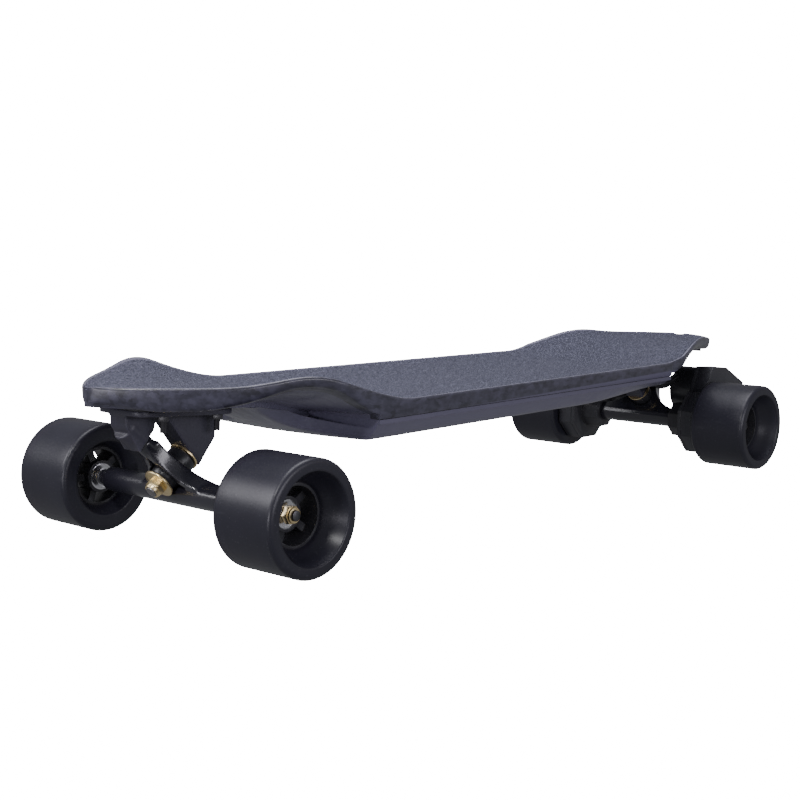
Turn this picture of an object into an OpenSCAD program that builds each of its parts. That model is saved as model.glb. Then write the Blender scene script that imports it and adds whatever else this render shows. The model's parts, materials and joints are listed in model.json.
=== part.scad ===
// Belt-driven electric skateboard. X runs forward to the nose, Y to the left, Z up.
// The origin is on the ground, under the middle of the deck's length.

/* [Board] */
// Distance between the front and the rear axle
wheelbase = 675; // [560:5:820]
// Deck length ahead of the front axle
nose_overhang = 87; // [80:1:120]
// Deck length behind the rear axle
tail_overhang = 80; // [76:1:120]
// Half the deck's width at the front shoulder
shoulder_half_w = 119.5; // [100:0.5:140]
// Half the deck's width at the rear shoulder
waist_half_w = 102.5; // [88:0.5:130]
// Height of the rim along the middle of the deck
rim_mid_z = 118; // [110:0.5:140]
// How far the nose's rim stands above the middle of the deck
nose_rise = 17; // [8:0.5:30]
// How far the tail's rim stands above the middle of the deck
tail_rise = 16; // [8:0.5:30]
// Extra height of the flares over the front wheels
front_flare = 7; // [0:0.5:12]
// Extra height of the flares over the rear wheels
rear_flare = 4; // [0:0.5:12]
// Depth of the concave across the deck
concave = 6; // [2:0.5:8]
// Width of the bare rim around the grip tape
rim_w = 5; // [3:0.5:9]
// Thickness of the grip tape
grip_t = 1; // [0.6:0.1:2]
// Height of the deck's side band along the middle
band_h = 14; // [12:0.5:18]
// Height of the deck's side band at the arches over the wheels
arch_band_h = 9; // [7:0.5:12]

/* [Hull] */
// Depth of the hull below the deck's side band
hull_depth = 17.5; // [16:0.5:40]
// Wall of the hull
hull_wall = 2; // [2:0.25:4]
// How far the hull's side leans in on its way down
hull_lean = 12; // [4:1:20]
// Depth of the battery bay that is cut up into the deck
bay_depth = 3.5; // [1:0.5:5]

/* [Trucks] */
// Height of the axles above the ground
axle_z = 45; // [40:0.5:60]
// Diameter of the axles
axle_d = 8; // [7:0.5:10]
// Distance from the board's middle to the shoulder that the wheel's inner bearing runs against
shoulder_y = 99; // [90:0.5:120]
// Slope of the kingpin from the horizontal
kingpin_slope = 37; // [32:1:42]
// Slope of the steering axis from the horizontal
steer_slope = 40; // [36:1:46]
// Diameter of the kingpin
kingpin_d = 9.5; // [8:0.5:11]
// Diameter of the bushings
bushing_d = 24; // [22:0.5:25]
// Width of the truck's base flange
flange_w = 56; // [50:1:66]
// Distance between the deck bolts along the board
bolt_dx = 54; // [50:0.5:66]
// Distance between the deck bolts across the board
bolt_dy = 41.3; // [38:0.1:46]

/* [Wheels] */
// Diameter of the wheels
wheel_d = 90; // [80:1:110]
// Width of the wheels
wheel_w = 62; // [52:1:70]
// Outer diameter of the bearings
bearing_d = 22; // [19:1:24]
// Width of the bearings
bearing_w = 7; // [6:0.5:8]
// Length of the spacer between a wheel's bearings
spacer_l = 10; // [8:0.5:12]

/* [Drive] */
// Teeth on the wheel pulley
wheel_teeth = 36; // [32:1:40]
// Teeth on the motor pulley
motor_teeth = 16; // [13:1:18]
// Pitch of the belt's teeth
belt_pitch = 5; // [3:1:5]
// Width of the belt
belt_w = 11; // [9:1:12]
// Diameter of the motor's can
motor_d = 50; // [42:1:54]
// Length of the motor's can
motor_l = 42; // [40:1:52]

/* [Clearances] */
// Radial running clearance of a shaft or pin in its bore
run_gap = 0.05; // [0.02:0.01:0.1]
// Gap between bodies that move past each other
move_gap = 1; // [0.5:0.1:1.5]
// Gap around parts that are laid into the hull
lay_gap = 0.3; // [0.2:0.1:1]

/* [Hidden] */
$fn = 64;

// Axle stations along the board; the origin is half way between the nose and the tail.
deck_l = wheelbase + nose_overhang + tail_overhang;
front_x = deck_l / 2 - nose_overhang;
rear_x = front_x - wheelbase;

// ---------- deck outline and heights ----------
// u is the distance outward from an axle: positive towards the nose or the tail.
function clamp01(t) = min(1, max(0, t));
function ease(a, b, u) = let (t = clamp01((u - a) / (b - a))) t * t * (3 - 2 * t);
function bell(u, mid, spread) = exp(-pow((u - mid) / spread, 2) / 2);
function mix(a, b, t) = a + (b - a) * t;

nose_l = 207;          // from the front shoulder to the nose's tip
nose_blunt = 5;        // how much of the sharp nose is rounded away
tail_l = 185;          // from the rear shoulder to the tail's tip
tail_cap = 68;         // length of the tail's rounded end
tail_slope = 0.29;     // the tail's taper ahead of its rounded end
function nose_curve(d) = shoulder_half_w * (1 - pow(1 - clamp01(d / (nose_l + nose_blunt)), 2.5));
function nose_half_w(d) = sqrt(max(0, pow(nose_curve(d + nose_blunt), 2) - pow(nose_curve(nose_blunt), 2)));
function tail_half_w(d) = (waist_half_w - tail_slope * max(0, tail_l - 25 - d))
  * pow(1 - pow(clamp01((tail_cap - d) / tail_cap), 2.2), 0.5);
function middle_half_w(x) = mix(waist_half_w, shoulder_half_w,
  clamp01((x + deck_l / 2 - tail_l) / (deck_l - tail_l - nose_l)));
function half_w(x) = x > deck_l / 2 - nose_l ? nose_half_w(deck_l / 2 - x)
  : x < tail_l - deck_l / 2 ? tail_half_w(x + deck_l / 2) : middle_half_w(x);

function out_u(x) = x > 0 ? x - front_x : rear_x - x;
function end_rise(x) = x > 0 ? nose_rise : tail_rise;
function lift(x) = x > 0 ? ease(-150, -50, out_u(x)) : ease(-118, -25, out_u(x));
function flare(x) = x > 0 ? front_flare * bell(out_u(x), -38, 24) : rear_flare * bell(out_u(x), -7, 22);
function rim_z(x) = rim_mid_z + end_rise(x) * lift(x) + flare(x);
// The pad that a truck bolts to rises gently outward.
pad_z = 70 + axle_z;
pad_rise = 0.06;
function pad_plane(u) = pad_z + pad_rise * u;
function centre_z(x) = rim_mid_z - concave
  + (pad_z + 16 - rim_mid_z + concave) * ease(x > 0 ? -150 : -125, 30, out_u(x));
// The dish runs out towards the tips, so that the nose and the tail end in an even edge.
function dish(x) = (rim_z(x) - min(centre_z(x), rim_z(x) - 2)) * mix(0.3, 1, ease(0, 75, half_w(x)));
function top_z(x, y) = rim_z(x) - dish(x) * (1 - pow(clamp01(abs(y) / max(1, half_w(x))), 2.6));

// ---------- deck underside ----------
well_u = -105;          // rear wall of a wheel well, measured from the axle
well_y = 40;            // inner wall of a wheel well
band_floor = rim_mid_z - band_h;
nose_band_h = 18;
tail_band_h = 13;
function in_well(x) = out_u(x) > well_u;
function arch_u(x) = out_u(x) - well_u;
function band_low(x) = !in_well(x) ? band_floor
  : let (u = out_u(x), arch = mix(band_floor + 2, rim_z(x) - arch_band_h, pow(ease(well_u - 12, well_u + 42, u), 0.8)))
  mix(arch, rim_z(x) - (x > 0 ? nose_band_h - 6 * ease(50, 88, u) : tail_band_h), ease(-35, 40, u));
function well_roof(x) = mix(band_floor, pad_plane(out_u(x)) + 4, ease(well_u - 10, well_u + 55, out_u(x)));
function spine_low(x) = !in_well(x) ? band_floor
  : mix(band_floor, pad_plane(out_u(x)), clamp01((out_u(x) - well_u) / 55));
// Height of the underside at a point across the deck
function under_z(x, y) = !in_well(x) ? band_floor
  : abs(y) < well_y ? min(spine_low(x), top_z(x, y) - 6)
  : min(mix(well_roof(x), band_low(x), clamp01((abs(y) - well_y) / max(1, half_w(x) - 3 - well_y))), top_z(x, y) - 6);

// One cross-section, from the left rim over the top to the right rim and back underneath
top_n = 7;
function inner_w(x) = let (w = half_w(x)) w - rim_w * min(1, w / 25);
function under_ys(x) = let (w = half_w(x), e = w - tuck(x) - 1.8 * min(1, w / 25), a = min(well_y + 0.6, w * 0.6),
  b = min(well_y, w * 0.55)) [e, mix(e, a, 0.35), mix(e, a, 0.7), a, b, b * 0.5];
function left_top(x) = let (w = half_w(x), r = min(1, w / 25))
  [[inner_w(x) + 0.4 * r, top_z(x, inner_w(x))], [w - 1.2 * r, rim_z(x)], [w, rim_z(x) - 1.8]];
function tuck(x) = min(1, half_w(x) / 25) * (1.2 + 3.6 * ease(well_u, well_u + 60, out_u(x)));
function left_side(x) = let (w = half_w(x), zl = min(band_low(x), rim_z(x) - 6), h = rim_z(x) - zl)
  [[w - 0.1 * tuck(x), zl + 0.5 * h], [w - 0.35 * tuck(x), zl + 0.2 * h], [w - 0.8 * tuck(x), zl + 0.05 * h]];
function left_under(x) = [for (y = under_ys(x)) [y, under_z(x, y)]];
function left_half(x) = concat([[0, top_z(x, 0) - grip_t]],
  [for (k = [1 : top_n]) let (y = inner_w(x) * k / top_n) [y, top_z(x, y) - grip_t]],
  left_top(x), left_side(x), left_under(x));
function mirror_y(p) = [-p[0], p[1]];
function ring(x) = let (h = left_half(x), n = len(h))
  concat(h, [[0, under_z(x, 0)]], [for (i = [n - 1 : -1 : 1]) mirror_y(h[i])]);

// Stations close up towards the tips and at the walls of the wheel wells.
function end_stations(l) = [for (i = [0 : 11]) l * pow(i / 12, 1.7) + 0.4];
nose_inner = deck_l / 2 - front_x - well_u;
tail_inner = deck_l / 2 + rear_x - well_u;
function stations() = concat(
  [for (d = end_stations(tail_inner - 0.5)) d - deck_l / 2],
  [tail_inner - 0.5 - deck_l / 2, tail_inner + 0.1 - deck_l / 2, tail_inner + 12 - deck_l / 2],
  [for (i = [1 : 5]) mix(tail_inner + 12 - deck_l / 2, deck_l / 2 - nose_inner - 40, i / 6)],
  [deck_l / 2 - nose_inner - 40, deck_l / 2 - nose_inner - 18, deck_l / 2 - nose_inner - 0.1,
   deck_l / 2 - nose_inner + 0.5],
  [for (i = [len(end_stations(1)) - 1 : -1 : 0]) deck_l / 2 - end_stations(nose_inner - 0.5)[i]]);

// Skins a row of closed rings that all have the same number of points.
module loft(xs, rings) {
  n = len(rings[0]);
  pts = [for (i = [0 : len(xs) - 1]) for (p = rings[i]) [xs[i], p[0], p[1]]];
  last = len(xs) - 1;
  sides = [for (i = [0 : last - 1]) for (j = [0 : n - 1])
    let (a = i * n + j, b = i * n + (j + 1) % n, c = a + n, d = b + n)
    each [[a, c, d], [a, d, b]]];
  caps = [[for (j = [0 : n - 1]) j], [for (j = [n - 1 : -1 : 0]) last * n + j]];
  polyhedron(points = pts, faces = concat(sides, caps), convexity = 10);
}

// Height of the deck's upper skin under the grip tape, and the bay above the hull
bay_half_w = 70;
bay_front_u = -115;
bumper_h = 5;
bumper_l = 17;

module deck() {
  xs = stations();
  color("dimgray") difference() {
    loft(xs, [for (x = xs) ring(x)]);
    battery_bay();
    tail_bumper_shape();
    for (end = [1, -1]) at_pad(end) bolt_places() {
      translate([0, 0, -20]) cylinder(d = bolt_d + 0.4, h = 60);
      translate([0, 0, bolt_head_z - 0.1]) cylinder(d = bolt_head_d + 0.6, h = 30);
    }
    screw_places() translate([0, 0, band_floor - 1]) cylinder(d = screw_d, h = screw_bite + 1);
  }
}

module battery_bay() {
  l = wheelbase + 2 * bay_front_u;
  translate([front_x + bay_front_u - l, -bay_half_w, band_floor - 1]) cube([l, 2 * bay_half_w, bay_depth + 1]);
}

function grip_ring(x) = let (ys = [for (k = [1 : top_n]) inner_w(x) * k / top_n])
  concat([[0, top_z(x, 0)]], [for (y = ys) [y, top_z(x, y)]],
    [for (i = [top_n - 1 : -1 : 0]) [ys[i], top_z(x, ys[i]) - grip_t]], [[0, top_z(x, 0) - grip_t]],
    [for (y = ys) [-y, top_z(x, y) - grip_t]], [for (i = [top_n - 1 : -1 : 0]) [-ys[i], top_z(x, ys[i])]]);

module grip_tape() {
  xs = stations();
  color("darkslategray") loft(xs, [for (x = xs) grip_ring(x)]);
}

module tail_bumper_shape() {
  tip = -deck_l / 2;
  side = [for (i = [1 : 10]) let (x = tip + 1.2 + bumper_l * pow(i / 10, 1.6)) [x, half_w(x) - 3]];
  translate([0, 0, band_low(tip + 10) - bumper_h]) linear_extrude(bumper_h + 3)
    polygon(concat(side, [for (i = [9 : -1 : 0]) [side[i][0], -side[i][1]]]));
}

module tail_bumper() color("black") tail_bumper_shape();

// ---------- hull ----------
gasket_t = 0.6;
nose_tip_u = -48;       // where the hull's ramp ends under a truck
spine_gap = 1;
ramp_low = 7.5;         // how much shallower the hull is at its rear
function hull_top(x) = spine_low(x) - gasket_t;
hull_inset = 1.5;
function hull_side(x) = half_w(x) - hull_inset;
function lip(x) = exp(-max(0, arch_u(x)) / 5);
function upper_w(x) = in_well(x) ? well_y - spine_gap : hull_side(x);
function lip_w(x) = in_well(x) ? mix(well_y - spine_gap - 1, hull_side(x) - 3, lip(x)) : hull_side(x) - 0.2 * hull_lean;
function lip_z(x) = in_well(x) ? min(hull_top(x) - 0.6, floor_edge_z(well_station(x)) + 10 + arch_u(x) * 0.4) : hull_top(x) - 4;
function well_station(x) = x > 0 ? front_x + well_u : rear_x - well_u;
function level_floor(x) = band_floor - hull_depth + (x > 0 ? 0 : ramp_low * ease(-255, -105, out_u(x)));
function floor_edge_z(x) = in_well(x)
  ? mix(level_floor(well_station(x)), hull_top(x) - 1.5, clamp01(arch_u(x) / (nose_tip_u - well_u)))
  : level_floor(x);
function floor_w(x) = lip_w(x) - 0.8 * hull_lean * (in_well(x) ? mix(0.5, 1, lip(x)) : 1);
keel_w = 12;            // half the width of the flat along the hull's middle
function crown(x) = 2.5 - 2.2 * clamp01(arch_u(x) / (nose_tip_u - well_u));
function hull_half(x) = [[upper_w(x), hull_top(x)], [upper_w(x), lip_z(x) + 0.3], [lip_w(x), lip_z(x)],
  [mix(lip_w(x), floor_w(x), 0.6), mix(lip_z(x), floor_edge_z(x), 0.66)],
  [floor_w(x), floor_edge_z(x) + 0.4], [floor_w(x) - 4, floor_edge_z(x) - 0.3],
  [floor_w(x) * 0.5, floor_edge_z(x) - 0.75 * crown(x)]];
function hull_ring(x) = let (h = hull_half(x), n = len(h))
  concat(h, [[keel_w, floor_edge_z(x) - crown(x)], [-keel_w, floor_edge_z(x) - crown(x)]],
    [for (i = [n - 1 : -1 : 0]) mirror_y(h[i])]);
function ramp_steps() = [0, 2, 5, 9, 14, 21, 30, 40, nose_tip_u - well_u];
function hull_stations() = concat(
  [for (i = [len(ramp_steps()) - 1 : -1 : 0]) rear_x - well_u - ramp_steps()[i] - 0.05],
  [for (i = [0 : 8]) mix(rear_x - well_u + 0.3, rear_x + 260, i / 8)],
  [for (i = [1 : 5]) mix(rear_x + 260, front_x + well_u - 30, i / 6)],
  [front_x + well_u - 30, front_x + well_u - 0.3],
  [for (s = ramp_steps()) front_x + well_u + s + 0.05]);
screw_d = 3;
screw_bite = 6;
screw_head_d = 5.6;
screw_head_h = 2;
boss_d = 8;
screw_rows = 5;
// Screws run in two rows inside the hull's side walls.
module screw_places() {
  for (i = [0 : screw_rows - 1]) {
    x = mix(rear_x - well_u + 16, front_x + well_u - 12, i / (screw_rows - 1));
    $seat = level_floor(x) + 0.6;
    for (s = [1, -1]) translate([x, s * (floor_w(x) - 7), 0]) children();
  }
}

side_port_z = 96.3;
side_port_d = 10;
socket_x = rear_x + 200;
button_x = rear_x + 235;
port_face_y = -hull_side(socket_x) + 2;
port_l = 11;

// The room inside the hull: its plan drawn straight up, under a floor line seen from the side
module hull_room() {
  x0 = rear_x - well_u + hull_wall;
  x1 = front_x + well_u - hull_wall;
  xs = [for (i = [0 : 8]) mix(x0, x1, i / 8)];
  side = [for (x = xs) [x, floor_w(x) - hull_wall]];
  intersection() {
    linear_extrude(300) polygon(concat(side, [for (i = [8 : -1 : 0]) [side[i][0], -side[i][1]]]));
    translate([0, 200, 0]) rotate([90, 0, 0]) linear_extrude(400)
      polygon(concat([for (x = xs) [x, level_floor(x) + hull_wall]], [[x1, band_floor + 5], [x0, band_floor + 5]]));
  }
}

module hull() {
  xs = hull_stations();
  color("slategray") difference() {
    loft(xs, [for (x = xs) hull_ring(x)]);
    difference() {
      hull_room();
      screw_places() cylinder(d = boss_d, h = 150);
    }
    screw_places() {
      cylinder(d = screw_d + 0.4, h = 150);
      cylinder(d = screw_head_d + 0.4, h = $seat + screw_head_h + 0.1);
    }
    for (x = [socket_x, button_x]) translate([x, port_face_y - 4, side_port_z])
      rotate([-90, 0, 0]) cylinder(d = side_port_d, h = port_l + 10);
    for (s = [1, -1]) cable_bore(s);
  }
}

module hull_gasket() {
  color("black") difference() {
    gasket_sheet(0, gasket_t);
    translate([0, 0, -1]) gasket_sheet(6, gasket_t + 2);
    screw_places() translate([0, 0, band_floor - 3]) cylinder(d = screw_d + 0.4, h = 6);
  }
}

// A flat sheet inside the hull's outline, drawn in by the inset
module gasket_sheet(inset, t) {
  x0 = rear_x - well_u + 1 + inset;
  x1 = front_x + well_u - 1 - inset;
  side = [for (i = [0 : 12]) let (x = mix(x0, x1, i / 12)) [x, hull_side(x) - 0.6 - inset]];
  translate([0, 0, band_floor - gasket_t]) linear_extrude(t)
    polygon(concat(side, [for (i = [12 : -1 : 0]) [side[i][0], -side[i][1]]]));
}

module hull_screws() {
  color("silver") screw_places() translate([0, 0, $seat]) {
    cylinder(d = screw_head_d, h = screw_head_h);
    cylinder(d = screw_d, h = band_floor + screw_bite - 0.5 - $seat);
  }
}

// ---------- battery and electronics ----------
cell_d = 18.4;
cell_l = 65;
cell_pitch = 19;
cell_n = 14;
cell_z = band_floor + bay_depth - lay_gap - cell_d / 2;
holder_t = 1.6;
battery_front = front_x + well_u - 16;
module battery_cells() {
  color("steelblue") for (i = [0 : cell_n - 1]) for (s = [1, -1])
    translate([battery_front - cell_pitch * (i + 0.5), s * (holder_t / 2 + 0.2), cell_z])
      rotate([s > 0 ? -90 : 90, 0, 0]) cylinder(d = cell_d, h = cell_l);
}

module cell_holders() {
  l = cell_pitch * cell_n;
  color("ivory") for (y = [-1, 0, 1])
    translate([battery_front - l, y * (holder_t + cell_l + 0.4) - holder_t / 2, cell_z - 7]) cube([l, holder_t, 15]);
}

electronics_x = rear_x + 172;
board_t = 1.6;
module battery_management_board() {
  color("green") translate([electronics_x, 6, 97]) cube([70, 66, board_t]);
  color("dimgray") for (i = [0 : 5]) translate([electronics_x + 4 + i * 11, 12, 97 + board_t]) cube([7, 9, 4]);
}

module motor_controller() {
  color("silver") translate([electronics_x, -68, 95.6]) cube([76, 64, 10]);
  color("black") for (i = [0 : 2])
    translate([electronics_x + 84, -60 + i * 15, 100.6]) cylinder(d = 12, h = 6);
}

module power_button_bezel() {
  color("silver") translate([button_x, port_face_y, side_port_z]) rotate([-90, 0, 0]) difference() {
    cylinder(d = side_port_d, h = port_l);
    translate([0, 0, -1]) cylinder(d = button_d + 2 * run_gap, h = port_l - 1);
  }
}

button_d = 7;
button_travel = 1.2;
module power_button() {
  color("black") translate([button_x, port_face_y - 1.4, side_port_z]) rotate([-90, 0, 0])
    cylinder(d = button_d, h = port_l - 1.4 - button_travel);
}

socket_bore_d = 5.6;
socket_bore_l = 9;
module charge_socket() {
  color("black") translate([socket_x, port_face_y, side_port_z]) rotate([-90, 0, 0]) difference() {
    cylinder(d = side_port_d, h = port_l);
    translate([0, 0, -1]) cylinder(d = socket_bore_d, h = socket_bore_l + 1);
  }
}

// ---------- trucks: x outward from the axle, z up from the axle ----------
module at_truck(end) {
  translate([end > 0 ? front_x : rear_x, 0, axle_z]) rotate([0, 0, end > 0 ? 0 : 180]) children();
}
pad_tilt = atan(pad_rise);
module at_pad(end) {
  at_truck(end) translate([0, 0, pad_z - axle_z]) rotate([0, -pad_tilt, 0]) children();
}
bolt_d = 5;
bolt_head_d = 9;
bolt_head_h = 3;
bolt_head_z = 7.7;
bolt_tip_z = -19.5;
bolt_x = 4;
nut_h = 4;
module bolt_places() {
  for (x = [-bolt_dx / 2, bolt_dx / 2]) for (y = [-bolt_dy / 2, bolt_dy / 2])
    translate([bolt_x + x, y, 0]) children();
}

shock_pad_t = 2;
flange_t = 4.5;
flange_back = -38;
flange_front = 60;
// A flat plate with round corners, its top at z = 0
module corner_plate(x0, x1, w, r, t) {
  translate([0, 0, -t]) linear_extrude(t) union() {
    translate([x0 + r, -w / 2]) square([x1 - x0 - 2 * r, w]);
    translate([x0, -w / 2 + r]) square([x1 - x0, w - 2 * r]);
    for (x = [x0 + r, x1 - r]) for (y = [-w / 2 + r, w / 2 - r]) translate([x, y]) circle(r);
  }
}

module shock_pads() {
  color("black") for (end = [1, -1]) at_pad(end) difference() {
    corner_plate(flange_back, flange_front, flange_w, 12, shock_pad_t);
    bolt_places() translate([0, 0, -10]) cylinder(d = bolt_d + 0.4, h = 20);
  }
}

module deck_bolts() {
  color("dimgray") for (end = [1, -1]) at_pad(end) bolt_places() {
    translate([0, 0, bolt_tip_z]) cylinder(d = bolt_d, h = bolt_head_z - bolt_tip_z);
    translate([0, 0, bolt_head_z]) cylinder(d = bolt_head_d, h = bolt_head_h);
  }
}

module deck_nuts() {
  color("dimgray") for (end = [1, -1]) at_pad(end) bolt_places()
    translate([0, 0, -shock_pad_t - flange_t - nut_h]) difference() {
      cylinder(d = 9.2, h = nut_h, $fn = 6);
      translate([0, 0, -1]) cylinder(d = bolt_d, h = nut_h + 2);
    }
}

// The hanger's ring sits between two bushings on the kingpin; the pivot turns in a cup.
ring_x = 6.8;
ring_z = 19;
ring_t = 6;
ring_hole_d = 15;
board_bushing_l = 11;
road_bushing_l = 12;
washer_t = 2;
washer_d = 26;
kingpin_nut_h = 8.5;
pivot_r = 6;
pivot_at = 50;
cup_wall = 2.2;
// Along the kingpin from the middle of the ring: up is towards the board
module at_kingpin() translate([ring_x, 0, ring_z]) rotate([0, kingpin_slope - 90, 0]) children();
// Along the steering axis from the middle of the ring, towards the pivot
module at_steer() translate([ring_x, 0, ring_z]) rotate([0, 90 - steer_slope, 0]) children();
block_face = ring_t / 2 + board_bushing_l + washer_t;
block_half_w = 11;
block_l = 19;
block_tip = 10;
boss_r = 10.5;
function on_kingpin(t, s) = [ring_x - t * cos(kingpin_slope) + s * sin(kingpin_slope),
  ring_z + t * sin(kingpin_slope) + s * cos(kingpin_slope)];
function on_steer(t, s) = [ring_x + t * cos(steer_slope) - s * sin(steer_slope),
  ring_z + t * sin(steer_slope) + s * cos(steer_slope)];
flange_low = pad_z - axle_z - shock_pad_t - flange_t;

module upright(points, half_w) {
  translate([0, half_w, 0]) rotate([90, 0, 0]) linear_extrude(2 * half_w) polygon(points);
}

module baseplate(end) {
  color("dimgray") at_truck(end) difference() {
    union() {
      translate([0, 0, pad_z - axle_z]) rotate([0, -pad_tilt, 0]) translate([0, 0, -shock_pad_t])
        corner_plate(flange_back, flange_front, flange_w, 12, flange_t);
      upright([on_kingpin(block_face, -block_tip), on_kingpin(block_face, 42), [19, flange_low + 3],
        [-30, flange_low + 1], [-29, 42], on_kingpin(block_face + block_l - 4, -6)], block_half_w);
      upright([on_steer(41, -boss_r), on_steer(41, boss_r), [28, flange_low + 2], [59, flange_low + 4],
        [58, flange_low - 6]], boss_r - 0.5);
      at_steer() translate([0, 0, 41]) cylinder(r = boss_r, h = 18);
    }
    at_kingpin() translate([0, 0, block_face - 1]) cylinder(d = kingpin_d, h = 60);
    at_kingpin() translate([0, 0, block_face + block_l]) cylinder(d = kingpin_head_d + 0.4, h = 60);
    at_steer() translate([0, 0, 30]) cylinder(r = pivot_r + cup_wall, h = 27);
    translate([0, 0, pad_z - axle_z]) rotate([0, -pad_tilt, 0]) bolt_places()
      translate([0, 0, -20]) cylinder(d = bolt_d + 0.4, h = 30);
    translate([0, 0, pad_z - axle_z]) rotate([0, -pad_tilt, 0]) translate([-60, -40, -shock_pad_t]) cube([140, 80, 40]);
  }
}

kingpin_head_d = 14;
kingpin_head_h = 6;
module kingpins() {
  color("goldenrod") for (end = [1, -1]) at_truck(end) at_kingpin() {
    low = -ring_t / 2 - road_bushing_l - washer_t - kingpin_nut_h - 0.8;
    translate([0, 0, low]) cylinder(d = kingpin_d, h = block_face + block_l - low);
    translate([0, 0, block_face + block_l]) cylinder(d = kingpin_head_d, h = kingpin_head_h, $fn = 6);
  }
}

module kingpin_nuts() {
  color("gold") for (end = [1, -1]) at_truck(end) at_kingpin()
    translate([0, 0, -ring_t / 2 - road_bushing_l - washer_t - kingpin_nut_h]) difference() {
      union() {
        translate([0, 0, 2.5]) cylinder(d = 16.2, h = kingpin_nut_h - 2.5, $fn = 6);
        cylinder(d = 12.6, h = 3);
      }
      translate([0, 0, -1]) cylinder(d = kingpin_d, h = kingpin_nut_h + 2);
    }
}

module cup_washer() {
  difference() {
    cylinder(d = washer_d, h = washer_t);
    translate([0, 0, -1]) cylinder(d = kingpin_d, h = washer_t + 2);
  }
}

module kingpin_washers() {
  color("gold") for (end = [1, -1]) at_truck(end) at_kingpin() {
    translate([0, 0, block_face - washer_t]) cup_washer();
    translate([0, 0, -ring_t / 2 - road_bushing_l - washer_t]) cup_washer();
  }
}

// A bushing is a barrel with softly rounded ends, bored for the kingpin.
module bushing(l, d_ring, d_end) {
  difference() {
    rotate_extrude() polygon([[0, 0], [d_ring / 2 - 1, 0], [d_ring / 2, 1], [d_ring / 2, l * 0.45],
      [d_end / 2, l - 1], [d_end / 2 - 1, l], [0, l]]);
    translate([0, 0, -1]) cylinder(d = kingpin_d, h = l + 2);
  }
}

module bushings(end) {
  color("black") at_truck(end) at_kingpin() {
    translate([0, 0, ring_t / 2]) bushing(board_bushing_l, bushing_d, bushing_d);
    translate([0, 0, -ring_t / 2]) rotate([180, 0, 0]) bushing(road_bushing_l, bushing_d, bushing_d - 4);
  }
}

module pivot_cups() {
  color("black") for (end = [1, -1]) at_truck(end) at_steer() difference() {
    translate([0, 0, 41]) cylinder(r = pivot_r + cup_wall, h = 16);
    translate([0, 0, 40]) cylinder(r = pivot_r + run_gap, h = pivot_at - 40);
    translate([0, 0, pivot_at]) sphere(r = pivot_r + run_gap);
  }
}

// ---------- hanger ----------
frame_slope = 48.6;
frame_low = -3;
frame_high = 10.5;
frame_reach = 50;
arm_r = 47;
arm_x = 52;
arm_y = 54;
tube_r = 10;
// The hanger's triangular frame lies in a plane through the axle that leans back to the pivot.
module at_frame() rotate([0, -frame_slope, 0]) children();
module frame_outline() {
  difference() {
    translate([-2, -clamp_in + 0.2]) square([frame_reach + 2, 2 * clamp_in - 0.4]);
    for (s = [1, -1]) translate([arm_x, s * arm_y]) circle(arm_r, $fn = 128);
  }
}
module frame_window() {
  difference() {
    translate([10, -22]) square([34, 44]);
    for (s = [1, -1]) translate([arm_x, s * arm_y]) circle(arm_r + 7, $fn = 128);
  }
}

module hanger(end) {
  color("dimgray") at_truck(end) difference() {
    union() {
      rotate([90, 0, 0]) translate([0, 0, -86]) cylinder(r = tube_r, h = 172);
      rotate([90, 0, 0]) translate([0, 0, -shoulder_y + 1]) cylinder(r = 7, h = 2 * shoulder_y - 2);
      at_frame() translate([0, 0, frame_low]) linear_extrude(frame_high - frame_low) frame_outline();
      at_kingpin() translate([0, 0, -ring_t / 2]) cylinder(d = bushing_d + 5, h = ring_t);
      at_steer() translate([0, 0, 22]) cylinder(r = pivot_r, h = pivot_at - 22);
      at_steer() translate([0, 0, 22]) cylinder(r = pivot_r + 1.5, h = 16);
      at_steer() translate([0, 0, pivot_at]) sphere(r = pivot_r);
    }
    at_frame() translate([0, 0, frame_low - 1]) linear_extrude(6) frame_window();
    at_kingpin() translate([0, 0, -40]) cylinder(d = ring_hole_d, h = 80);
    at_kingpin() translate([0, 0, ring_t / 2]) cylinder(d = bushing_d + 1.6, h = 40);
    at_kingpin() translate([0, 0, -ring_t / 2 - 45]) cylinder(d = bushing_d + 1.6, h = 45);
    rotate([90, 0, 0]) translate([0, 0, -150]) cylinder(d = axle_d, h = 300);
  }
}

axle_end = shoulder_y + 2 * bearing_w + spacer_l + 10;
module axle(end) {
  color("silver") at_truck(end) rotate([90, 0, 0]) translate([0, 0, -axle_end])
    cylinder(d = axle_d, h = 2 * axle_end);
}

speed_t = 1;
axle_nut_h = 7;
outer_face = shoulder_y + 2 * bearing_w + spacer_l;
module axle_hardware(end) {
  color("gold") at_truck(end) for (s = [1, -1]) rotate([s * -90, 0, 0]) difference() {
    union() {
      translate([0, 0, shoulder_y - speed_t]) cylinder(d = axle_d + 3, h = speed_t);
      translate([0, 0, outer_face]) cylinder(d = axle_d + 3, h = speed_t);
      translate([0, 0, outer_face + speed_t]) cylinder(d = 14.6, h = axle_nut_h - 2, $fn = 6);
      translate([0, 0, outer_face + speed_t + 1]) cylinder(d = 11.6, h = axle_nut_h - 1);
    }
    translate([0, 0, shoulder_y - 10]) cylinder(d = axle_d, h = 100);
  }
}

// ---------- wheels: h runs outward from the wheel's inner face ----------
wheel_face = 121 - wheel_w / 2;
module at_wheel(end, side) {
  at_truck(end) rotate([side * end * -90, 0, 0]) children();
}
core_r = 24.5;
core_in = 12;
core_out = wheel_w - 20;
lip_r = 4;
dish_r = 35.3;
inner_dish_r = 31;
function arc(cx, cy, r, a0, a1, n) = [for (i = [0 : n]) let (a = mix(a0, a1, i / n)) [cx + r * cos(a), cy + r * sin(a)]];

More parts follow.
